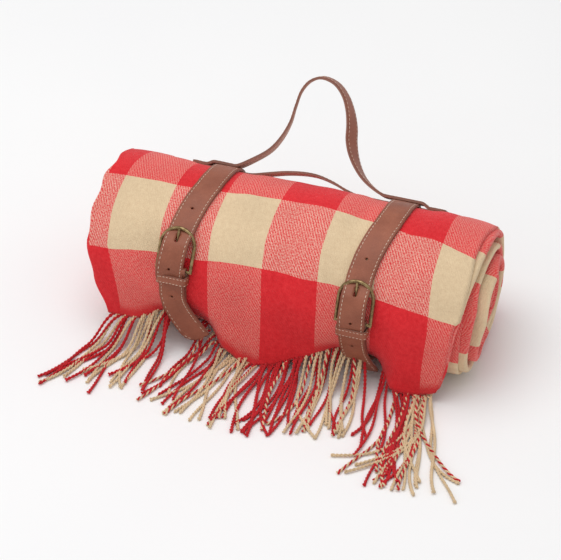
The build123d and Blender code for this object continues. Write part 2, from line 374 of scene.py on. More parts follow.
def check_wool():
    s = Shader("check_wool", Roughness=0.92, Sheen_Weight=0.18, Sheen_Roughness=0.45, Specular_IOR_Level=0.15)
    uv = s.node("UVMap", {"uv_map": "cloth"}).outputs[0]
    weave = s.node("UVMap", {"uv_map": "weave"}).outputs[0]
    split = s.node("SeparateXYZ", Vector=uv)

    def grain(scale, detail=2.0, roughness=0.55):
        return s.noise(weave, scale, detail, roughness)

    u, v = split.outputs[0], split.outputs[1]
    wander = grain(55.0)
    drift = s.times(s.minus(wander, 0.5), 0.0012)
    column = s.math("FLOOR", s.math("DIVIDE", s.minus(u, FIRST_COLUMN * MM), COLUMN_WIDTH * MM))
    red_column = s.minus(1.0, s.math("FLOORED_MODULO", column, 2.0))
    row = s.math("FLOOR", s.math("DIVIDE", s.plus(v, drift), ROW_HEIGHT * MM))
    red_row = s.math("FLOORED_MODULO", row, 2.0)
    threads = s.node("SeparateXYZ", Vector=weave)
    slant = s.minus(s.times(threads.outputs[1], 0.587), threads.outputs[0])
    waver = s.times(s.minus(grain(330.0), 0.5), 0.0011)
    phase = s.times(s.plus(slant, waver), 2 * pi / 0.0026)
    broken = s.map(grain(620.0), 0.36, 0.6, 0.15, 1.25)
    line = s.times(s.math("SINE", phase), broken)
    fibre = grain(1300.0, 3.0, 0.7)
    nap = grain(260.0, 3.0, 0.6)
    clarity = s.map(grain(45.0), 0.35, 0.62, 0.45, 1.05)
    speck = s.times(s.minus(grain(720.0, 2.0, 0.6), 0.5), 5.5)
    twill = s.plus(s.times(line, clarity), speck)
    twill = s.map(s.plus(twill, s.times(s.minus(fibre, 0.5), 2.0)), -1.15, 0.95)
    mixed = s.math("ABSOLUTE", s.minus(red_column, red_row))
    red = s.mix(s.map(nap, 0.3, 0.7), DEEP_RED, RED)
    cream = s.mix(s.map(nap, 0.3, 0.65), DEEP_CREAM, CREAM)
    pink = s.mix(twill, PALE_PINK, DEEP_PINK)
    # Towards the hanging edge the pink cells turn deep red: the edge's red weaving, with painted shade where it
    # curls under
    hem = s.map(s.value("hem"), 0.05, 0.6, 0.0, 0.85)
    pink = s.mix(s.times(red_row, 0.44), pink, RED)
    pink = s.mix(hem, pink, DEEP_RED)
    colour = s.mix(mixed, s.mix(red_row, cream, red), pink)
    stray = s.map(grain(900.0, 2.0, 0.5), 0.70, 0.78)
    colour = s.mix(s.times(stray, 0.25), colour, (0.8, 0.45, 0.36))
    colour = s.shade(colour, s.map(fibre, 0.3, 0.75, 0.86, 1.08))
    colour = s.shade(colour, s.map(grain(22.0), 0.3, 0.7, 0.93, 1.05))
    height = s.plus(s.times(line, 0.35), s.times(fibre, 1.3))
    height = s.plus(height, s.times(nap, 1.2))
    return s.finish(colour, normal=s.bump(height, 0.00035, 0.8))


def fringe_wool():
    s = Shader("fringe_wool", Roughness=0.9, Sheen_Weight=0.2, Sheen_Roughness=0.45, Specular_IOR_Level=0.15)
    dye = s.value("dye")
    where = s.where()
    nap = s.noise(where, 700.0, 3.0, 0.7)
    tone = s.noise(where, 60.0, 2.0)
    red = s.mix(s.map(nap, 0.3, 0.7), (0.42, 0.010, 0.015), (0.66, 0.022, 0.03))
    cream = s.mix(s.map(nap, 0.25, 0.7), (0.60, 0.42, 0.24), (0.80, 0.62, 0.40))
    colour = s.mix(dye, cream, red)
    colour = s.shade(colour, s.map(tone, 0.3, 0.7, 0.88, 1.06))
    return s.finish(colour, normal=s.bump(nap, 0.0003, 0.7))


def tan_leather():
    s = Shader("tan_leather", Coat_Weight=0.06, Coat_Roughness=0.35, Specular_IOR_Level=0.3)
    where = s.where()
    side = s.value("lining")
    rim = s.value("rim")
    cells = s.node("TexVoronoi", {"feature": "DISTANCE_TO_EDGE"}, Vector=where, Scale=620.0).outputs["Distance"]
    pebbles = s.map(cells, 0.0, 0.35)
    pores = s.noise(where, 1500.0, 2.0, 0.6)
    cloud = s.noise(where, 38.0, 4.0, 0.6)
    streak = s.noise(where, 160.0, 3.0, 0.6)
    dark, tan, pale = (0.245, 0.074, 0.040), (0.315, 0.100, 0.056), (0.38, 0.128, 0.073)
    colour = s.ramp(cloud, [(0.3, dark), (0.52, tan), (0.75, pale)])
    colour = s.mix(s.map(streak, 0.55, 0.8, 0.0, 0.22), colour, (0.46, 0.19, 0.12))
    colour = s.mix(s.map(pebbles, 0.0, 0.5, 0.22, 0.0), colour, (0.16, 0.05, 0.028))
    edge = s.times(rim, s.map(streak, 0.3, 0.7, 0.55, 0.95))
    colour = s.mix(edge, colour, (0.13, 0.042, 0.026))
    suede = s.mix(s.map(pores, 0.35, 0.65), (0.50, 0.30, 0.23), (0.64, 0.42, 0.34))
    colour = s.mix(side, colour, suede)
    roughness = s.map(cloud, 0.3, 0.7, 0.44, 0.6)
    roughness = s.plus(roughness, s.times(side, 0.3))
    height = s.plus(s.times(pebbles, 0.7), s.times(pores, 0.5))
    height = s.plus(height, s.times(streak, 1.4))
    return s.finish(colour, roughness, s.bump(height, 0.00022, 0.6))


def cream_thread():
    s = Shader("cream_thread", Roughness=0.7, Sheen_Weight=0.15)
    where = s.where()
    tone = s.noise(where, 420.0, 2.0)
    colour = s.ramp(tone, [(0.3, (0.56, 0.38, 0.28)), (0.6, (0.78, 0.60, 0.47)), (0.8, (0.88, 0.73, 0.60))])
    twist = s.node("TexWave", {"bands_direction": "DIAGONAL"}, Vector=where, Scale=900.0, Distortion=1.5)
    return s.finish(colour, normal=s.bump(twist.outputs["Fac"], 0.0001, 0.6))


def antique_brass():
    s = Shader("antique_brass", Metallic=0.85)
    where = s.where()
    cloud = s.noise(where, 180.0, 4.0, 0.65)
    fine = s.noise(where, 1100.0, 2.0)
    tarnish, brass, worn = (0.10, 0.062, 0.026), (0.27, 0.185, 0.085), (0.46, 0.34, 0.17)
    colour = s.ramp(cloud, [(0.3, tarnish), (0.5, brass), (0.72, worn)])
    roughness = s.map(cloud, 0.3, 0.7, 0.5, 0.28)
    height = s.plus(cloud, s.times(fine, 0.35))
    return s.finish(colour, roughness, s.bump(height, 0.00018, 0.5))


def floor_paper():
    s = Shader("floor_paper", Roughness=0.85, Specular_IOR_Level=0.1)
    where = s.where()
    colour = s.ramp(s.noise(where, 3.0, 2.0), [(0.3, (0.93, 0.93, 0.935)), (0.7, (0.95, 0.95, 0.95))])
    return s.finish(colour)


WOOL, FRINGE, LEATHER = check_wool(), fringe_wool(), tan_leather()
THREAD, BRASS, PAPER = cream_thread(), antique_brass(), floor_paper()


def dress(obj, material, body=None, replaced=()):
    """Gives a piece its material and slot, and lets it ride on its body for the CAD nodes it stands for."""
    obj.data.materials.clear()
    obj.data.materials.append(material)
    if body:
        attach(obj, body)
    if replaced:
        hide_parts(*replaced)
    return obj


def blend(obj, body, start, end):
    """Bakes a piece's transform into its mesh. The body and the two places, in mm, are not used."""
    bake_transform(obj)


# The blanket


def turn_point(turn, segment, t):
    """(y, z) of the plies' middle, a share t along one of a turn's five segments.

    They are the top's back half, the back corner, the flat underneath, the front corner, the top's front half.
    """
    drop = (0.0, 0.0, 0.0, smoothstep((t - 0.33) / 0.5), 1.0)[segment]
    lift, shrink = PLIES_MIDDLE - TURN_STEP * (turn + drop), 1.0
    if turn >= WHOLE_TURNS:
        lift = PLIES_MIDDLE - TURN_STEP * WHOLE_TURNS
        shrink = 1.0 - 0.62 * ((turn - WHOLE_TURNS) + (segment + t) / 5.0)
    top, corner = RADIUS + lift, CORNER + lift
    flat = top - corner
    a = pi / 2 * (-t, -1 - t, 0.0, 2 - t, 1 - t)[segment]
    if segment == 2:
        y, z = flat - 2 * flat * t, -corner
    else:
        across, radius = (0.0, flat, 0.0, -flat, 0.0)[segment], corner if segment in (1, 3) else top
        y, z = across - radius * sin(a), radius * cos(a)
    return AXIS_Y + y * shrink, AXIS_Z + CORE_RISE + (z - CORE_RISE) * shrink


def roll_line():
    """(y, z) of the plies' middle, turn after turn, from the row line on the front over the top."""
    points = []
    for t in np.linspace(ROW_ANGLE / 90, 0, 30, endpoint=False):
        a, top = pi / 2 * t, RADIUS + PLIES_MIDDLE
        points.append((AXIS_Y - top * sin(a), AXIS_Z + top * cos(a)))
    segments = [(turn, segment) for turn in range(6) for segment in range(5) if turn < 5 or segment < 2]
    for turn, segment in segments:
        points += [turn_point(turn, segment, t) for t in np.linspace(0, 1, 40, endpoint=False)]
    return np.array(points)


def hem_length(x):
    """How far the cloth goes on past the row line, at a place along the roll."""
    places = [-192, -168, -150, -129, -110, -99, -85, -61, -42, -22]
    places += [0, 16, 36, 55, 72, 90, 115, 135, 155, 168, 195]
    lengths = [72, 74, 73, 67, 64, 59, 67, 84, 96, 97, 89, 79, 71, 68, 64, 74, 90, 92, 86, 79, 76]
    return between(x, places, lengths) + 1.3 * wobble(x, 5.0, 1.7, 17.0)


def hug(x):
    """1 where a belt holds the cloth's free edge against the roll, 0 where it hangs."""
    near = min(abs(x - place) for place in BELTS.values())
    return 1.0 - smoothstep((near - 15.0) / 34.0)


def hem_line(x, ply, length):
    """Points (y, z, y outwards, z outwards) down the free edge, from the row line, every 2 mm."""
    depth = -CLOTH_THICKNESS / 2 - PLY_STEP * ply
    a, radius = radians(ROW_ANGLE), RADIUS + depth
    y, z = AXIS_Y - radius * sin(a), AXIS_Z + radius * cos(a)
    held = hug(x)
    steps = max(2, int(round(length / 2)))
    ds = length / steps
    leave = radians(83.0 + 2.0 * wobble(x, 0.0, 3.0, 45.0))
    rows = [(y, z, -sin(a), cos(a))]
    for k in range(steps):
        curvature = 1.0 / radius if a < pi / 2 else 1.0 / (CORNER + depth)
        if a > leave:
            curvature *= held
            loose = (1 - held) * (k / steps)
            curvature += loose * 0.0035 * wobble(x, k * 2.0, 6.0, 34.0)
        a += curvature * ds
        y -= cos(a) * ds
        z -= sin(a) * ds
        floor = CLOTH_THICKNESS / 2 + 0.3 + ply * 0.2
        if z < floor:
            y -= 0.8 * (floor - z)
            z = floor
        rows.append((y, z, -sin(a), cos(a)))
    return np.array(rows)


def row_places(x):
    """How far up the cloth the two row lines of the front are, at a place along the roll."""
    places = [-192, -168, -148, -129, -80, -60, -42, -3, 16, 45, 94, 113, 132, 152, 168]
    lower = [-4, -3, 0, 2, 3, 6, 7, 7.5, 6, 6.5, 1, -1, -3, -5, -6.5]
    upper_places = [-192, -168, -148, -61, -42, -3, 16, 71, 103, 122, 142, 161, 190]
    upper = [-11, -10.3, -10, -4, -3.5, -1.3, 0, -5, -10.3, -11.6, -14, -17, -20]
    return between(x, places, lower), ROW_HEIGHT + between(x, upper_places, upper)


def row_distance(x, run):
    """The cloth's own distance from the row line. The cloth isn't rolled up straight, so the rows wander."""
    low, high = row_places(x)
    if run < low:
        return max(run - low, -0.98 * ROW_HEIGHT)
    if run < high:
        return (run - low) / (high - low) * ROW_HEIGHT
    return run - high + ROW_HEIGHT


def column_lean(x, run):
    """How far the columns wander to the right as they go up the roll."""
    stations = [
        between(run, [-62, -40, -18, 0, 30, 80, 120], [18, 15, 10, 4, 2, 3.5, 8]),
        between(run, [-60, -20, 0, 30, 80], [3, 2, 0, -3, -1]),
        between(run, [-60, -20, 0, 30, 80], [5, 8, 7, 4, 4]),
    ]
    return between(x, [-160, -70, 140], stations)


def row_slip(ply, run):
    """The inner plies' rows don't meet the outer ply's."""
    later = 28.0 * smoothstep((run - 560.0) / 90.0)
    return (-12.0 + later) * smoothstep(ply * 4.0)


def cloth_columns():
    """The cloth's columns from one selvedge to the other: (ply, share along the ply, or the fold it is in)."""
    folded = np.linspace(0, 1, 7)[1:-1]
    columns = [(0.0, t) for t in np.linspace(0, 1, 93)] + [(t, LEFT_FOLD) for t in folded]
    columns += [(1.0, 1 - t) for t in np.linspace(0, 1, 36)] + [(1.0 + t, RIGHT_FOLD) for t in folded]
    return columns + [(2.0, t) for t in np.linspace(0, 1, 30)]


def column_x(ply, share, run):
    """Where a column is along the roll, and its distance across the cloth, at a distance up the cloth."""
    loose = min(1.0, max(0.0, run - 180.0) / 120.0)
    selvedge = between(run, *SELVEDGE) + (0.5 + 2.0 * loose) * wobble(run, 3.0, 0.3, 22.0 + 30.0 * loose)
    left = between(run, *LEFT_EDGE)
    left += ROLL_LEFT + 0.8 + 1.9 * wobble(run, 1.0, 2.0, 26.0) + 1.2 * sin(run / 5.6)
    right = between(run, *RIGHT_EDGE) + (0.5 + 1.2 * loose) * wobble(run, 2.0, 4.0, 30.0 + 10.0 * loose)
    inner_left = left + 8.0 + 3.0 * wobble(run, 9.0, 1.0, 50.0)
    first_fold = ROLL_RIGHT - left + column_lean(left, run)
    second_fold = first_fold + FOLD_LENGTH + right - left
    bulge = FOLD_LENGTH / pi
    if share == LEFT_FOLD:
        return left - bulge * sin(pi * ply), first_fold + FOLD_LENGTH * ply
    if share == RIGHT_FOLD:
        return right + bulge * sin(pi * (ply - 1.0)), second_fold + FOLD_LENGTH * (ply - 1.0)
    if ply == 0.0:
        x = selvedge + (left - selvedge) * share
        return x, ROLL_RIGHT - x + column_lean(x, run)
    if ply == 1.0:
        x = right + (left - right) * share
        return x, first_fold + FOLD_LENGTH + x - left
    x = right + (inner_left - right) * share
    return x, second_fold + FOLD_LENGTH + right - x


def belt_press(x, run):
    """0 beside and under the belts, 1 far from them."""
    lean = belt_lean(ROW_ANGLE - degrees(run / RADIUS)) if run < 190 else 0.0
    near = min(abs(x - place - lean) for place in BELTS.values())
    return 1.0 - exp(-((max(0.0, near - BELT_WIDTH / 2 - 12.0) / 12.0) ** 2))


def hem_swell(x, down):
    """How far the cloth stands out, down from the row line."""
    loose = (1 - hug(x)) * smoothstep((down - 34.0) / 50.0)
    swell = 2.0 * belt_press(x, -down) * (1 - smoothstep((down - 20.0) / 50.0))
    return swell + loose * (3.2 * wobble(x, 0.0, 9.0, 38.0) + 1.0 * wobble(x, down, 4.0, 16.0))


def roll_swell(x, ply, run):
    """How far the cloth stands out, up from the row line. The belts and the base strap press it."""
    if run >= 440:
        return 0.35 * wobble(x, run, 7.0, 45.0)
    under, press = smoothstep((run - 205.0) / 60.0), belt_press(x, run)
    swell = (2.0 + 1.2 * wobble(x, run, 1.0, 60.0)) * press * (1 - under)
    swell += 0.7 * press * wobble(x, run * 0.6, 5.0, 22.0)
    from_base = abs(radians(ROW_ANGLE - degrees(run / (RADIUS - 1.5)) + 44.0)) * RADIUS
    if from_base < 24 and run < 190 and -150 < x < 141:
        ends = smoothstep((x + 150.0) / 8.0) * smoothstep((141.0 - x) / 8.0)
        pressed = (1 - smoothstep((from_base - 9.5) / 12.0)) * ends
        swell = swell * (1 - pressed) - 2.95 * pressed
    from_end = min(x - ROLL_LEFT, ROLL_RIGHT - x) if ply == 0.0 else 99.0
    if from_end < 14:
        swell -= 1.4 * (1 - max(0.0, from_end) / 14.0) ** 2
    return swell


def right_sag(x, z):
    """The top of the roll's right end sags."""
    return 6.5 * smoothstep((x - 118.0) / 64.0) * smoothstep((z - AXIS_Z - 22.0) / 50.0)


def make_blanket():
    columns = cloth_columns()
    fine = spaced(roll_line(), 1.0)
    total = len(fine) - 1.0
    rows = list(np.arange(0, 470, 4.0)) + list(np.arange(470, total, 7.5))
    spine = np.stack([np.interp(rows, np.arange(len(fine)), fine[:, k]) for k in range(2)], axis=1)
    along = np.gradient(spine, axis=0)
    along /= np.linalg.norm(along, axis=1, keepdims=True)
    outwards = np.stack([-along[:, 1], along[:, 0]], axis=1)
    verts, uvs, weave, hems = [], [], [], []

    def put(x, y, z, u, ply, run, hem=0.0):
        verts.append((x, y, z))
        hems.append(hem)
        uvs.append((u * MM, (row_distance(x, run) + row_slip(ply, run)) * MM))
        weave.append((u * MM, run * MM))

    for ply, share in columns:
        whole = ply // 1
        offset = PLY_STEP * (1.0 - whole) - PLY_STEP / 2 * (1 - cos(pi * (ply - whole)))
        x0 = column_x(ply, share, -50.0)[0]
        length = hem_length(x0) - 2.5 * ply
        line = hem_line(x0, (PLY_STEP - offset) / PLY_STEP, length)
        steps = np.linspace(len(line) - 1, 0, HEM_ROWS, endpoint=False)
        hem = np.stack([np.interp(steps, np.arange(len(line)), line[:, k]) for k in range(4)], axis=1)
        for k in range(HEM_ROWS):
            down = length * (1 - k / HEM_ROWS)
            x, u = column_x(ply, share, -down)
            swell = hem_swell(x, down)
            y, z = hem[k, 0] + hem[k, 2] * swell, hem[k, 1] + hem[k, 3] * swell
            z = max(z, CLOTH_THICKNESS / 2 + 0.2)
            # The last value is 1 at the free edge and fades to 0 over the band; it drives the edge's deep red
            # and painted shade
            put(x, y, z, u, ply, -down, 1.0 - min(1.0, (length - down) / HEM_RED_AND_SHADE_BAND))
        for j, run in enumerate(rows):
            x, u = column_x(ply, share, run)
            lift = offset + roll_swell(x, ply, run)
            y, z = spine[j, 0] + outwards[j, 0] * lift, spine[j, 1] + outwards[j, 1] * lift
            z = max(z - right_sag(x, z), CLOTH_THICKNESS / 2 + 1.2)
            put(x, y, z, u, ply, run)
    blanket = new_object("blanket", verts, grid(len(columns), HEM_ROWS + len(rows), around=False))
    for name, values in (("cloth", uvs), ("weave", weave)):
        layer = blanket.data.uv_layers.new(name=name)
        for loop in blanket.data.loops:
            layer.data[loop.index].uv = values[loop.vertex_index]
    point_attribute(blanket, "hem", hems)
    solid = blanket.modifiers.new("thickness", "SOLIDIFY")
    solid.thickness, solid.offset = CLOTH_THICKNESS * MM, 0.0
    apply_modifiers(blanket)
    dress(blanket, WOOL, "blanket",
          ["blanket_roll", "blanket_inner_turns", "hem_left", "hem_middle", "hem_right"])
    return blanket, (total + HEM_ALLOWANCE) * MM


blanket, cloth_length = make_blanket()


# The fringe

TASSELS, TASSEL_STEP = 44, 1.15  # tassels in each ply, and how finely each is drawn
SIXTHS = [j * pi / 3 for j in range(6)]
CREAM_CORNER = 131.0  # where the hem's right corner starts, with mostly cream tassels
FRINGE_LEFT, FRINGE_RIGHT, FRINGE_FRONT = -209.0, 207.0, -182.0


def tassel_path(root, heading, bend, length, layer, phase):
    """From the hem down to the floor, and along it."""
    floor = 1.75 + layer
    drop = root[2] - floor
    landing = 1.75 * max(drop, 0.0) + 7.0
    point = np.array(root, float)
    points = [point.copy()]
    for k in range(1, int(length / TASSEL_STEP) + 1):
        s = k * TASSEL_STEP
        z = floor + drop * (1 - smoothstep(s / landing))
        z -= smoothstep((s - 25.0) / 50.0) * layer * 0.75
        z = max(z, 1.65)
        a = heading + bend * (s / length) ** 1.4 + 0.16 * sin(s / 17.0 + phase)
        flat = sqrt(max(0.05, TASSEL_STEP * TASSEL_STEP - (z - point[2]) ** 2))
        point[0] += flat * sin(a)
        point[1] -= flat * cos(a)
        point[2] = z
        points.append(point.copy())
    return np.array(points)


def add_tassel(soup, path, dyes, turn, thick, phase):
    """Two strands that start a little apart in the hem and twist round each other."""
    t = tangents(path)
    side = unit(np.cross(t, [0.0, 0.0, 1.0]) + 1e-6)
    over = np.cross(side, t)
    count = len(path)
    s = np.arange(count) * TASSEL_STEP
    splay = 1.0 + 2.0 * np.exp(-s / 4.0)
    end = np.clip((s[-1] - s) / 5.0, 0, 1)
    for which, dye in enumerate(dyes):
        angle = phase + 2 * pi * s / turn + which * pi
        apart = 0.66 * thick * splay * (1 + 0.5 * (1 - end) ** 2)
        squeeze = np.where(s < 8, s / 8, 1.0)
        aside, above = apart * np.cos(angle), apart * np.sin(angle) * squeeze
        centre = path + side * aside[:, None] + over * above[:, None]
        rings = []
        for k in range(count):
            swell = 1.02 * thick * (1 + 0.08 * sin(3.1 * k + phase)) * (1 + 0.15 * (1 - end[k]))
            ring = np.array([centre[k] + swell * (cos(b) * side[k] + sin(b) * over[k]) for b in SIXTHS])
            ring[:, 2] = np.maximum(ring[:, 2], 0.15)
            rings.append(ring)
        rings.append(centre[-1] + t[-1] * 0.8 + (rings[-1] - centre[-1]) * 0.45)
        soup.rings(rings, dye)


def column_is_red(u):
    return (u - FIRST_COLUMN) / COLUMN_WIDTH // 1 % 2 == 0


def fringe_heading(x):
    """The floor direction of the fringe, in degrees from straight forwards, positive to the right."""
    places = [-192, -160, -140, -110, -85, -70, -40, 0, 50, 110, 150]
    return between(x, places, [-38, -32, -20, -14, -16, -24, -10, 0, 3, 6, 14])


def tassel_dyes(dice, x, ply):
    """Whether a tassel is red, and its two strands' dyes. There is none behind a belt's tail."""
    red = edge = False
    if ply == 0:
        u = ROLL_RIGHT - x + column_lean(x, -hem_length(x))
        red = column_is_red(u)
        edge = abs(((u - FIRST_COLUMN) % COLUMN_WIDTH) - COLUMN_WIDTH / 2) > COLUMN_WIDTH / 2 - 7
        if x < -150:
            red, edge = True, False
    else:
        red = dice.random() < (0.9 if column_is_red(ROLL_RIGHT - x + 8) else 0.40)
    if any(BELTS[side] + gap < x < BELTS[side] + 25.0 for side, gap in (("left", 1.0), ("right", 10.0))):
        return None
    if x > CREAM_CORNER:
        red, edge = dice.random() < 0.25, False
    mixed = dice.random() < (0.4 if edge else 0.10)
    return red, (1.0, 0.0) if mixed else (1.0, 1.0) if red else (0.0, 0.0)


def make_fringe():
    spans = {"left": (-400.0, -64.5), "middle": (-64.5, 59.5), "right": (59.5, 400.0)}
    soups = {name: Soup() for name in spans}
    dice = random.Random(7)
    for ply in range(PLIES):
        first, last = ROLL_LEFT + 27.5 + 3 * ply, 147.0 - ply
        for k in range(TASSELS):
            x = first + (last - first) * (k + 0.5) / (TASSELS - 4) + dice.uniform(-2.5, 2.5) + 3.0 * (ply - 1)
            if k >= TASSELS - 4:
                x = dice.uniform(CREAM_CORNER, last)
            x = min(max(x, first), last)
            dyed = tassel_dyes(dice, x, ply)
            if not dyed:
                continue
            red, dyes = dyed
            line = hem_line(x, float(ply), hem_length(x) - 2.5 * ply)
            y, z = line[-1][0] - (1 - hug(x)) * 3.2 * wobble(x, 0.0, 9.0, 38.0), line[-1][1]
            clump = 15.0 * wobble(x, ply * 3.0, 2.0, 19.0)
            heading = fringe_heading(x) + clump + dice.gauss(0, 8.0 if x < -100 else 5.0)
            bend = radians(dice.gauss(0, 18.0))
            if x > 134 and ply < 2 and not red:
                bend = radians(dice.choice([-75.0, 50.0, 62.0, 20.0]))
            length = between(x, [-192, -100, 0, 60, 120, 150], [112, 100, 98, 100, 118, 138])
            length += dice.uniform(-12, 8)
            layer = dice.choice([0.0, 1.6, 3.0])
            phase = dice.uniform(0, 6.28)
            for _ in range(12):
                path = tassel_path((x, y, max(z, 1.8)), radians(heading), bend, length, layer, phase)
                if path[:, 0].min() < FRINGE_LEFT:
                    heading += 6.0
                elif path[:, 0].max() > FRINGE_RIGHT:
                    heading -= 6.0
                elif path[:, 1].min() < FRINGE_FRONT:
                    length -= 6.0
                else:
                    break
            turn, thick, start = dice.uniform(7.0, 8.5), dice.uniform(0.88, 1.04), dice.uniform(0, 6.28)
            name = next(name for name, (low, high) in spans.items() if low <= x < high)
            add_tassel(soups[name], path, dyes, turn, thick, start)
    pieces = []
    for name, soup in soups.items():
        obj = soup.make(f"tassels_{name}", "dye")
        pieces.append(dress(obj, FRINGE, "blanket", [f"fringe_{name}"]))
    return pieces


fringe = make_fringe()


# The leather


def section_of(width, thickness, dome=0.12, edge=0.55):
    """A strap's section: (across, height, rim, lining) all the way round."""
    half, top = width / 2, thickness / 2
    side = [(half - 0.16, top - 0.17, 0.8, 0.0), (half, 0.0, 1.0, 0.15), (half - 0.16, -top + 0.17, 0.8, 0.6)]
    grain = [-half + edge + (width - 2 * edge) * k / 6 for k in range(7)]
    points = []
    for k, x in enumerate(grain):
        points.append((x, top + dome * (1 - (x / half) ** 2), 0.0 if 0 < k < 6 else 0.35, 0.0))
    flesh = [(half - edge - (width - 2 * edge) * k / 4, -top, 0.0 if 0 < k < 4 else 0.1, 1.0) for k in range(5)]
    return points + side + flesh + [(-x, height, rim, lining) for x, height, rim, lining in reversed(side)]


def face_outwards(obj):
    mesh = bmesh.new()
    mesh.from_mesh(obj.data)
    bmesh.ops.recalc_face_normals(mesh, faces=mesh.faces)
    mesh.to_mesh(obj.data)
    mesh.free()


def strap(name, points, normals, width, thickness, widths=None, thicknesses=None, closed=False, sideways=None):
    """A leather strap along a line, its grain side towards the normals."""
    t = tangents(points)
    if closed:
        t = unit(np.roll(points, -1, axis=0) - np.roll(points, 1, axis=0))
    across = unit(np.cross(t, normals))
    up = np.cross(across, t)
    section = section_of(width, thickness)
    widths, thicknesses, sideways = (
        np.full(len(points), usual) if given is None else given
        for given, usual in ((widths, 1.0), (thicknesses, 1.0), (sideways, 0.0))
    )
    verts, rims, linings = [], [], []
    for i, p in enumerate(points):
        for x, h, rim, lining in section:
            verts.append(p + across[i] * (x * widths[i] + sideways[i]) + up[i] * h * thicknesses[i])
            rims.append(rim)
            linings.append(lining)
    n, count = len(section), len(points)
    faces = grid(count, n, closed=closed)
    if not closed:
        faces.append(tuple(range(n)))
        faces.append(tuple((count - 1) * n + k for k in reversed(range(n))))
        for k in list(range(n)) + list(range((count - 1) * n, count * n)):
            rims[k] = max(rims[k], 0.85)
    obj = new_object(name, verts, faces)
    point_attribute(obj, "rim", rims)
    point_attribute(obj, "lining", linings)
    face_outwards(obj)
    return obj


def punch(obj, holes):
    """Cuts holes: (place, direction through, direction along, radius, length between a slot's end centres)."""
    cutters = []
    for place, through, along, radius, length in holes:
        through, along = unit(through), unit(along)
        side = np.cross(through, along)
        rings = []
        for depth in (-4.0, 4.0):
            ring = []
            for b in (2 * pi * k / 20 for k in range(20)):
                reach = radius * cos(b) + copysign(length / 2, cos(b))
                ring.append(place + through * depth + along * reach + side * radius * sin(b))
            rings.append(np.array(ring))
        soup = Soup()
        soup.rings(rings, 0.0)
        cutters.append(soup.make(obj.name + "_cutter"))
        face_outwards(cutters[-1])
    for cutter in cutters:
        cut = obj.modifiers.new("hole", "BOOLEAN")
        cut.operation, cut.object, cut.solver = "DIFFERENCE", cutter, "EXACT"
    apply_modifiers(obj)
    for cutter in cutters:
        bpy.data.objects.remove(cutter)


# A stitch from end to end: (share of its length, share of its radius, how deep it sinks)
STITCH_RINGS = ((-0.5, 0.35, 0.35), (-0.38, 0.85, 0.12), (0, 1.0, 0.0), (0.38, 0.85, 0.12), (0.5, 0.35, 0.35))


def stitches(name, points, normals, offsets, skip=(0.0, 0.0), gap=3.9, length=2.9, radius=0.33, lift=1.3):
    """Rows of stitches at distances across a strap's line, but none in the length skipped.

    The lift is from the line to the grain side.
    """
    t = tangents(points)
    across = unit(np.cross(t, normals))
    up = np.cross(across, t)
    s = lengths_along(points)
    soup = Soup()
    for offset in offsets:
        where = gap
        while where < s[-1] - gap * 0.6:
            if not skip[0] <= where <= skip[1]:
                middle, a, u, d = (np.array([np.interp(where, s, column) for column in values.T])
                                   for values in (points, across, up, t))
                d = unit(d + 0.10 * a * (1 if offset > 0 else -1))
                side = np.cross(d, u)
                rings = []
                for share, size, sink in STITCH_RINGS:
                    centre = middle + a * offset + d * length * share + u * (lift + 0.08 - sink)
                    turns = np.linspace(0, 2 * pi, 7)[:-1]
                    ring = [centre + radius * size * (cos(b) * side + 0.8 * sin(b) * u) for b in turns]
                    rings.append(np.array(ring))
                soup.rings(rings, 0.0)
            where += gap
    return soup.make(name)


# The tongue over the buckle: (reach, lift), how far it lies to the right, and its twist in degrees
TONGUE_LIFTS = [
    (-12, 7.7), (-6, 9.3), (0, 10.4), (8, 11.1), (15, 11.3), (20, 11.3),
    (24.5, 10.7), (29, 8.4), (34, 5.4), (39, 3.3), (45, 2.3), (53, BELT_MIDDLE),
]
TONGUE_SHIFT = {"left": -2.5, "right": -0.5}
TONGUE_TWIST = {"left": 20.0, "right": 8.0}


def belt_line(side):
    """The belt from under its keeper, up through the buckle, round the roll and back to the buckle's bar."""
    tongue = []
    for reach, lift in TONGUE_LIFTS:
        lean = TONGUE_SHIFT[side] * exp(-((reach / 16.0) ** 2)) + belt_lean(reach_angle(side, reach))
        tongue.append(at_reach(side, reach, lift, lean))
    points = list(curve_through(tongue, 1.5)[:-1])
    for angle in np.arange(reach_angle(side, 54.5), -180, -1.5):
        points.append(np.array([BELTS[side] + belt_lean(angle), *skin(angle, BELT_MIDDLE)]))
    y0, z0 = skin(-180, BELT_MIDDLE)
    y1, z1 = skin(180, BELT_MIDDLE)
    for t in np.linspace(0, 1, 12, endpoint=False):
        points.append(np.array([BELTS[side], y0 + (y1 - y0) * t, z0 + (z1 - z0) * t]))
    for angle in np.arange(180, reach_angle(side, -8), -1.5):
        points.append(np.array([BELTS[side], *skin(angle, BELT_MIDDLE)]))
    return spaced(points, 1.9)


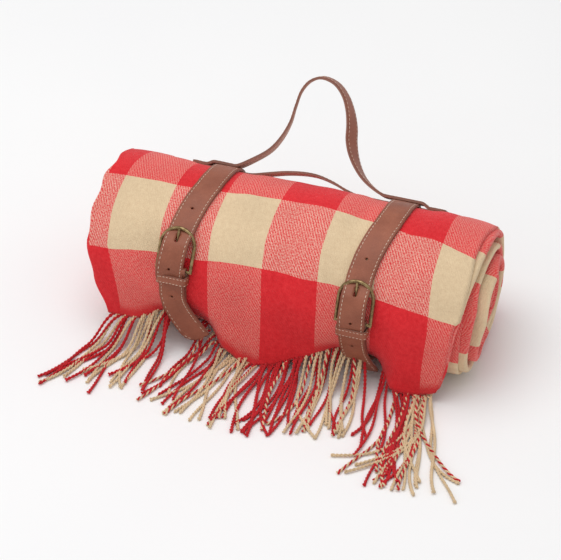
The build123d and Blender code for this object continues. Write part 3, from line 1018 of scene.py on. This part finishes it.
def make_belt(side):
    points = belt_line(side)
    normals = unit(np.cross(ALONG, tangents(points)))
    lengths = lengths_along(points)
    reach = lengths + TONGUE_LIFTS[0][0]
    twist = np.radians(TONGUE_TWIST[side]) * np.exp(-(((reach - 5.0) / 11.0) ** 2))
    normals = normals * np.cos(twist)[:, None] + ALONG * np.sin(twist)[:, None]
    belt = strap(f"{side}_strap", points, normals, BELT_WIDTH, BELT_THICKNESS)
    holes = []
    for reach, lift in ((61.0, BELT_MIDDLE), (1.6, 10.6)):
        angle = reach_angle(side, reach)
        place = at_reach(side, reach, lift, belt_lean(angle) if reach > 30 else TONGUE_SHIFT[side])
        holes.append((place, outward(angle), upward(angle), HOLE_RADIUS, 0.0))
    tilt = outward(reach_angle(side, SLOT_REACH) - SLOT_TILT)
    holes.append((at_reach(side, SLOT_REACH, SLOT_LIFT), tilt, np.cross(tilt, ALONG), SLOT_RADIUS, SLOT_LENGTH))
    punch(belt, holes)
    dress(belt, LEATHER, "carrier", [f"{side}_belt", f"{side}_tongue"])
    inset = BELT_WIDTH / 2 - STITCH_INSET
    angles = np.degrees(np.arctan2(-(points[:, 1] - AXIS_Y), points[:, 2] - AXIS_Z))
    near_handle = lengths[np.abs(angles + 44) < 13]
    sewn = stitches(f"{side}_strap_stitches", points, normals, (-inset, inset),
                    skip=(near_handle.min(), near_handle.max()), lift=BELT_THICKNESS / 2)
    dress(sewn, THREAD, "carrier", [f"{side}_belt_threads"])


def make_chape(side):
    """The belt's other end, folded round the buckle's bar and sewn down, open in the middle for the prong."""
    wall = 2.0
    turn = BAR_RADIUS + 0.1 + wall / 2
    local = [(-10.0, BAR_LIFT - turn - 0.1), (-5.0, BAR_LIFT - turn), (0.0, BAR_LIFT - turn)]
    local += [(turn * sin(a), BAR_LIFT - turn * cos(a)) for a in np.linspace(0.35, 2.8, 8)]
    local += [(0.0, BAR_LIFT + turn), (-5.0, 6.1), (-10.0, 4.7), (-14.0, 4.0), (-19.5, 3.75)]
    points = curve_through([at_reach(side, reach, lift) for reach, lift in local], 0.8)
    normals = unit(np.cross(tangents(points), ALONG))
    thin = np.interp(np.arange(len(points)), [0, len(points) * 0.6, len(points) - 1], [1.0, 1.0, 0.55])
    parts = []
    for name, x, width, keep in (("a", -7.5, 9.8, 1.0), ("b", 7.5, 9.8, 1.0), ("c", 0.0, 6.0, 0.38)):
        start = int(len(points) * (1 - keep))
        parts.append(strap(f"{side}_chape_{name}", points[start:] + x * ALONG, normals[start:],
                           width, wall, thicknesses=thin[start:]))
    dress(join(f"{side}_chape_fold", parts), LEATHER, "carrier", [f"{side}_chape"])


def join(name, objects):
    """One object from several."""
    meshes = bmesh.new()
    for obj in objects:
        meshes.from_mesh(obj.data)
    mesh = bpy.data.meshes.new(name)
    meshes.to_mesh(mesh)
    meshes.free()
    for obj in objects:
        bpy.data.objects.remove(obj)
    return link(name, mesh)


def tail_line(side):
    """The belt's free end leaves the keeper, and bends away from the roll and to the right."""
    (lift, last), drift = TAIL_TIPS[side], TAIL_DRIFT[side]
    line = [at_reach(side, KEEPER_REACH, 7.7), at_reach(side, -20.0, 5.9), at_reach(side, TAIL_START, 4.9)]
    start = line[-1].copy()
    tip = np.array([BELTS[side], *skin(last, lift)])
    aim = start - upward(reach_angle(side, TAIL_START)) * np.linalg.norm(tip - start) * 0.5
    for t in (0.2, 0.4, 0.6, 0.8, 1.0, 1.08):
        p = (1 - t) ** 2 * start + 2 * t * (1 - t) * aim + t * t * tip
        p[0] += drift * t**1.6
        line.append(p)
    points = curve_through(line, 1.2)
    straight_down = unit(tangents(points) * np.array([0.0, 1.0, 1.0]))
    return points, unit(np.cross(straight_down, ALONG))


def make_tail(side):
    """The belt's free end. Its tip is cut on the slant."""
    points, normals = tail_line(side)
    s = lengths_along(points)
    left_over = s[-1] - s
    taper = np.clip(left_over / 15.0, 0.0, 1.0)
    widths = 0.12 + 0.88 * np.sqrt(1 - (1 - taper) ** 2)
    t = tangents(points)
    across = unit(np.cross(t, normals))
    slide = -(1 - widths) * BELT_WIDTH / 2 * 0.9
    tail = strap(f"{side}_tail_end", points, normals, BELT_WIDTH, BELT_THICKNESS, widths=widths, sideways=slide)
    k = int(np.argmin(np.abs(s - 20.5)))
    punch(tail, [(points[k], normals[k], t[k], HOLE_RADIUS, 0.0)])
    dress(tail, LEATHER, None, [f"{side}_tail"])
    body = f"{side}_tail_body"
    start, end = at_reach(side, -21.0, 4.8), at_reach(side, -36.0, 4.8)
    blend(tail, body, start, end)
    inset = BELT_WIDTH / 2 - STITCH_INSET
    keep, tip = left_over > 13.0, (left_over < 14.5) & (left_over > 2.6)
    inside = np.clip(widths * BELT_WIDTH / 2 - STITCH_INSET, 0.8, None)
    rows = [stitches(f"row_{offset}", points[keep], normals[keep], (offset,), skip=(0.0, 5.5))
            for offset in (-inset, inset)]
    for sign in (-1, 1):
        edge = points + across * (sign * inside + slide)[:, None]
        rows.append(stitches(f"tip_{sign}", edge[tip], normals[tip], (0.0,)))
    sewn = join(f"{side}_tail_stitches", rows)
    dress(sewn, THREAD)
    blend(sewn, body, start, end)


def make_keeper(side):
    """The narrow loop over the tongue, sewn along both its edges."""
    half, foot, top, bend, width, wall = 14.0, 1.2, 11.5, 3.6, 8.5, 1.7
    outline = [(0.0, foot - 0.5), (half - 1.5, foot - 0.4), (half, foot + 1.3), (half, 5.0), (half, top - bend)]
    for a in np.linspace(0.2, pi / 2 - 0.2, 4):
        outline.append((half - bend + bend * cos(a), top - bend + bend * sin(a)))
    outline += [(half - bend, top + 0.05), (5.0, top + 0.5), (0.0, top + 0.65)]
    loop = outline + [(-x, h) for x, h in reversed(outline[1:-1])]
    angle = reach_angle(side, KEEPER_REACH)
    base, out = at_reach(side, KEEPER_REACH, 0.0), outward(angle)
    down = -upward(angle)
    dense = curve_through(loop + [loop[0]], 0.9)[:-1]
    points = np.array([base + x * ALONG + out * h + down * 0.9 * (x / half) ** 2 * (h / top) for x, h in dense])
    t = unit(np.roll(points, -1, axis=0) - np.roll(points, 1, axis=0))
    normals = unit(np.cross(t, down))
    keeper = strap(f"{side}_keeper_loop", points, normals, width, wall, closed=True)
    dress(keeper, LEATHER, "carrier", [f"{side}_keeper"])
    seen = dense[:, 1] > 3.0
    sewn = stitches(f"{side}_keeper_stitches", points[seen], normals[seen], (-width / 2 + 1.5, width / 2 - 1.5),
                    gap=3.3, length=2.5, radius=0.3, lift=wall / 2)
    dress(sewn, THREAD, "carrier")


for side in BELTS:
    make_belt(side)
    make_chape(side)
    make_tail(side)
    make_keeper(side)
    for node in ("buckle_frame", "prong"):
        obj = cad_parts[f"{side}_{node}"]
        obj.data.materials.clear()
        obj.data.materials.append(BRASS)
        smooth(obj.data)


# The handle strap and the base strap: (place along the roll, height in the handle's plane)
HANDLE_LINE = [
    (-129, 76.55), (-124, 76.55), (-114, 76.7), (-108.5, 79.6), (-104, 79.9), (-97, 79.9), (-90.5, 79.9),
    (-85.8, 80.2), (-73, 88.5), (-58, 101.5), (-50, 115.0), (-45, 131), (-43.5, 147), (-41, 163),
    (-34.5, 173.5), (-24, 178.5), (-10, 175.5), (1, 166), (9, 152.5), (14, 138), (16.5, 125), (21, 113),
    (28, 101.5), (36, 92.5), (46, 85.5), (58.3, 80.3), (64, 79.9), (71.8, 79.9), (85, 79.9), (93.5, 79.9),
    (98, 79.7), (103.5, 76.7), (110, 76.55), (120, 76.55),
]
BASE_HEIGHT = 74.15
BASE_HUMP = [
    (-129, 0), (-110, 0), (-80, 0), (-69, 0.4), (-56, 3.8), (-38, 8.6), (-20, 11.4), (-6, 11.4), (9, 8.2),
    (23, 3.4), (35, 0.6), (50, 0), (85, 0), (120, 0),
]
BASE_LINE = [(x, BASE_HEIGHT + rise) for x, rise in BASE_HUMP]


def top_strap(names, line, step, thickness, body, nodes, turned=None, sewn=(-inf, inf)):
    """A strap in the handle's plane, with rounded ends, and its stitches between two places along the roll."""
    flat = curve_through([(x, h, 0) for x, h in line], step)[:, :2]
    points = np.array([in_handle_plane(x, h) for x, h in flat])
    t = tangents(points)
    normals = np.cross(HANDLE_ACROSS, t)
    if turned:
        twist = turned(flat)[:, None]
        normals = normals * np.cos(twist) + unit(np.cross(t, normals)) * np.sin(twist)
    s = lengths_along(points)
    ends = np.minimum(s, s[-1] - s)
    widths = 0.72 + 0.28 * np.sqrt(1 - (1 - np.clip(ends / 5.0, 0, 1)) ** 2)
    leather = strap(names[0], points, normals, HANDLE_WIDTH, thickness, widths=widths)
    dress(leather, LEATHER, body, nodes)
    inset = HANDLE_WIDTH / 2 - 2.2
    kept = (flat[:, 0] > sewn[0]) & (flat[:, 0] < sewn[1])
    thread = stitches(names[1], points[kept], normals[kept], (-inset, inset), lift=thickness / 2)
    dress(thread, THREAD, body)
    return leather, thread


def leg_twist(flat):
    """How far the handle is turned about its own line: near the top of its left leg, and down its right leg."""
    share = np.linspace(0, 1, len(flat))
    top = share[np.argmax(flat[:, 1])]
    left = radians(15) * np.exp(-(((share - top * 0.82) / 0.17) ** 2))
    return left + radians(20) * np.exp(-(((share - (top + 0.19)) / 0.085) ** 2))


for piece in top_strap(("handle_strap", "handle_stitches"), HANDLE_LINE, 1.5, HANDLE_THICKNESS, None,
                       ["left_handle_end", "handle_arch", "right_handle_end"], turned=leg_twist):
    blend(piece, "handle", in_handle_plane(0, 80.5), in_handle_plane(0, 99.0))
top_strap(("base_strap_leather", "base_strap_stitches"), BASE_LINE, 1.8, BASE_THICKNESS, "carrier",
          ["base_strap"], sewn=(BELTS["left"] + 14, BELTS["right"] - 14))


# Floor, light and camera


def make_floor():
    mesh = bmesh.new()
    bmesh.ops.create_grid(mesh, x_segments=24, y_segments=24, size=9.0)
    data = bpy.data.meshes.new("floor")
    mesh.to_mesh(data)
    mesh.free()
    floor = link("floor", data)
    data.materials.append(PAPER)
    floor.location.z = -0.0001


def area_light(name, location, size, power):
    """A round light over the floor, in metres and watts, that looks at the roll."""
    data = bpy.data.lights.new(name, "AREA")
    data.shape, data.size, data.energy = "DISK", size, power
    light = link(name, data)
    light.location = location
    light.rotation_euler = (Vector((0, 0, 0.05)) - Vector(location)).to_track_quat("-Z", "Y").to_euler()


make_floor()
area_light("key", (-0.45, -0.1, 2.4), 2.3, 29.0)
area_light("fill", (-1.6, -1.6, 1.3), 1.6, 4.0)
scene = bpy.context.scene
scene.world = bpy.data.worlds.new("studio")
scene.world.use_nodes = True
colour, strength = scene.world.node_tree.nodes["Background"].inputs[:2]
colour.default_value, strength.default_value = (1.0, 1.0, 1.0, 1.0), 0.60
scene.view_settings.view_transform, scene.view_settings.look = "Standard", "None"

TURN, ELEVATION = radians(18.5), radians(39.5)
TARGET, DISTANCE = Vector((-0.0249, 0.0365, 0.0379)), 2.323
camera_data = bpy.data.cameras.new("camera")
camera_data.sensor_width, camera_data.lens = 36.0, 157.3
camera_data.clip_start, camera_data.clip_end = 0.1, 40.0
camera = link("camera", camera_data)
towards = Vector((sin(TURN) * cos(ELEVATION), -cos(TURN) * cos(ELEVATION), sin(ELEVATION)))
camera.location = TARGET + DISTANCE * towards
camera.rotation_euler = (-towards).to_track_quat("-Z", "Y").to_euler()
scene.camera = camera
